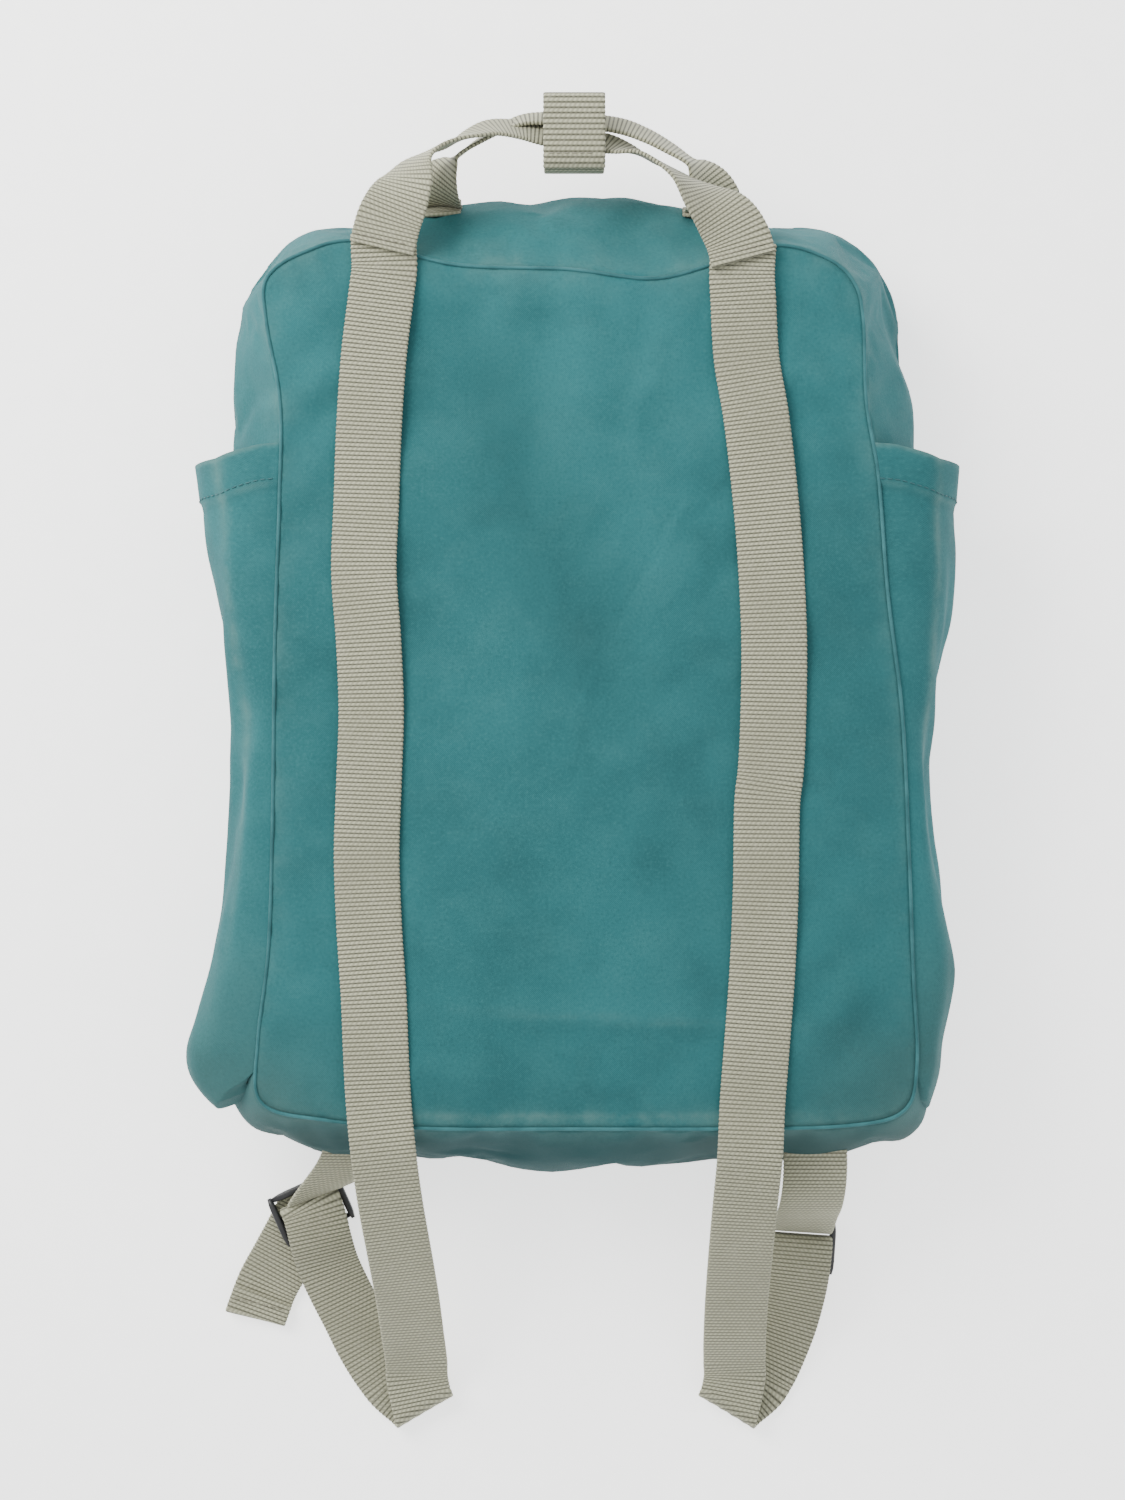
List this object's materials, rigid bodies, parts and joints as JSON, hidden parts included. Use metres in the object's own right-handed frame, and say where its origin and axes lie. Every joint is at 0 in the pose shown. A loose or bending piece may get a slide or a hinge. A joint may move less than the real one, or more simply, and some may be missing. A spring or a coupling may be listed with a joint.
{
  "type": "daypack",
  "caption": "Soft canvas daypack lying on its front, with webbing shoulder straps, carry handle, zipped front flap, front pocket and open side pockets.",
  "frame": {"origin": "on the resting front face of the bag, below the middle of its outline", "axes": "+Y towards the top of the pack and its carry handle, +Z out of the back panel, +X to the wearer's right"},
  "size_m": [0.3362, 0.5821, 0.0852],
  "materials": {
    "canvas": "washed cotton canvas, matte",
    "foam": "closed-cell foam pad",
    "lining": "thin plain lining",
    "binding": "woven seam tape",
    "zip_tape": "woven zip tape",
    "zip_coil": "moulded nylon coil",
    "zip_metal": "black enamelled zinc",
    "webbing": "ribbed cotton webbing",
    "black_plastic": "moulded acetal, satin",
    "hook_and_loop": "hook-and-loop tape"
  },
  "bodies": {
    "pack": {"back_panel": "canvas", "back_foam": "foam", "inner_sleeve": "lining", "gusset_left": "canvas", "gusset_right": "canvas", "gusset_top": "canvas", "gusset_bottom": "canvas", "back_seam_binding": "binding", "front_base": "canvas", "front_base_panel": "canvas", "zip_tape_rear": "zip_tape", "zip_coil_rear": "zip_coil", "side_pocket_left": "canvas", "side_pocket_right": "canvas", "pocket_hem_left": "canvas", "pocket_hem_right": "canvas", "strap_left_upper": "webbing", "strap_right_upper": "webbing", "strap_left_lower": "webbing", "strap_right_lower": "webbing", "anchor_left": "webbing", "anchor_right": "webbing", "strap_tail_left": "webbing", "strap_tail_right": "webbing", "back_handle_base_left": "webbing", "back_handle_base_right": "webbing", "front_handle_base_left": "webbing", "front_handle_base_right": "webbing"},
    "front_flap": {"front_panel": "canvas", "flap_gusset_left": "canvas", "flap_gusset_right": "canvas", "flap_gusset_top": "canvas", "zip_tape_front": "zip_tape", "zip_coil_front": "zip_coil", "front_pocket": "canvas", "pocket_zip_tape_lower": "zip_tape", "pocket_zip_tape_upper": "zip_tape", "pocket_zip_coil_lower": "zip_coil", "pocket_zip_coil_upper": "zip_coil"},
    "slider_left": {"zip_slider_left": "zip_metal"},
    "pull_left": {"zip_pull_left": "zip_metal"},
    "slider_right": {"zip_slider_right": "zip_metal"},
    "pull_right": {"zip_pull_right": "zip_metal"},
    "slider_pocket": {"pocket_slider": "zip_metal"},
    "pull_pocket": {"pocket_pull": "zip_metal"},
    "handle": {"back_handle": "webbing", "front_handle": "webbing", "grip_wrap": "webbing", "grip_loop_patch": "hook_and_loop"},
    "grip_cover": {"grip_flap": "webbing", "grip_hook_patch": "hook_and_loop"},
    "adjuster_left": {"buckle_left": "black_plastic", "strap_fold_left": "webbing"},
    "adjuster_right": {"buckle_right": "black_plastic", "strap_fold_right": "webbing"}
  },
  "joints": [
    {"name": "front_flap_fold", "type": "hinge", "parent": "pack", "child": "front_flap", "pos_m": [0, -0.177, 0.0127], "axis": [-1, 0, 0], "range_deg": [0, 85]},
    {"name": "zip_left_slide", "type": "slide", "parent": "pack", "child": "slider_left", "axis": [-1, 0, 0], "range_m": [0, 0.065]},
    {"name": "zip_left_pull", "type": "hinge", "parent": "slider_left", "child": "pull_left", "pos_m": [-0.016, 0.2084, 0.0265], "axis": [0, 0, -1], "range_deg": [0, 95]},
    {"name": "zip_right_slide", "type": "slide", "parent": "pack", "child": "slider_right", "axis": [1, 0, 0], "range_m": [0, 0.065]},
    {"name": "zip_right_pull", "type": "hinge", "parent": "slider_right", "child": "pull_right", "pos_m": [0.016, 0.2084, 0.0265], "axis": [0, 0, 1], "range_deg": [0, 95]},
    {"name": "pocket_zip_slide", "type": "slide", "parent": "front_flap", "child": "slider_pocket", "axis": [-1, 0, 0], "range_m": [0, 0.15]},
    {"name": "pocket_zip_pull", "type": "hinge", "parent": "slider_pocket", "child": "pull_pocket", "pos_m": [0.078, 0.0531, 0.006], "axis": [0, 0, -1], "range_deg": [0, 95]},
    {"name": "handle_lift", "type": "hinge", "parent": "pack", "child": "handle", "pos_m": [0, 0.192, 0.0838], "axis": [1, 0, 0], "range_deg": [0, 40]},
    {"name": "grip_cover_open", "type": "hinge", "parent": "handle", "child": "grip_cover", "pos_m": [0, 0.2525, 0.0761], "axis": [-1, 0, 0], "range_deg": [0, 110]},
    {"name": "adjuster_left_tilt", "type": "hinge", "parent": "pack", "child": "adjuster_left", "pos_m": [-0.1219, -0.2211, 0.0128], "axis": [-0.9117, -0.4108, 0], "range_deg": [0, 18]},
    {"name": "adjuster_right_tilt", "type": "hinge", "parent": "pack", "child": "adjuster_right", "pos_m": [0.1023, -0.237, 0.0128], "axis": [-0.9976, 0.0698, 0], "range_deg": [0, 18]}
  ]
}
